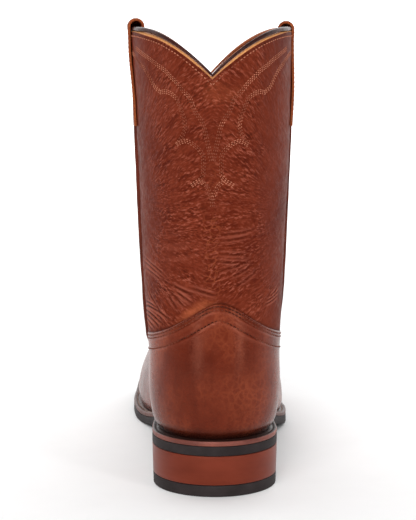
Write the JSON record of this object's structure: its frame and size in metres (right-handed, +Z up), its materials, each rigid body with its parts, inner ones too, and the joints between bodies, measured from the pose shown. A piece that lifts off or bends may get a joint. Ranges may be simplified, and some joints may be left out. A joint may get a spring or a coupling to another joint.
{
  "type": "western boot",
  "caption": "Right-foot western boot with a short straight shaft, V-scalloped collar, pull straps, humped heel counter, broad toe, welted sole and low block heel.",
  "frame": {"origin": "on the floor, under the middle of the boot's box", "axes": "+Y along the foot towards the toe, +X towards the outer (lateral) side, +Z up"},
  "size_m": [0.105, 0.3019, 0.2731],
  "materials": {
    "upper_leather": "chestnut brown pebbled leather with a waxy sheen",
    "counter_leather": "chestnut brown leather, smoother than the shaft",
    "vamp_leather": "chestnut brown leather, smoother than the shaft",
    "seam_leather": "dark brown raised seam",
    "strap_leather": "brown strap with a raw tan edge",
    "binding_leather": "glossy dark brown rolled edge",
    "welt_leather": "light brown, lightly polished",
    "sole_rubber": "dark grey-brown satin rubber",
    "heel_stack": "brown painted stacked heel, smooth",
    "insole_leather": "plain tan leather board"
  },
  "bodies": {
    "root": {"upper": "upper_leather", "counter": "counter_leather", "vamp": "vamp_leather", "side_seam_lateral": "seam_leather", "side_seam_medial": "seam_leather", "pull_strap_lateral": "strap_leather", "pull_strap_medial": "strap_leather", "collar_binding": "binding_leather", "welt": "welt_leather", "outsole": "sole_rubber", "heel_block": "heel_stack", "heel_cap": "sole_rubber", "insole": "insole_leather"}
  },
  "joints": []
}
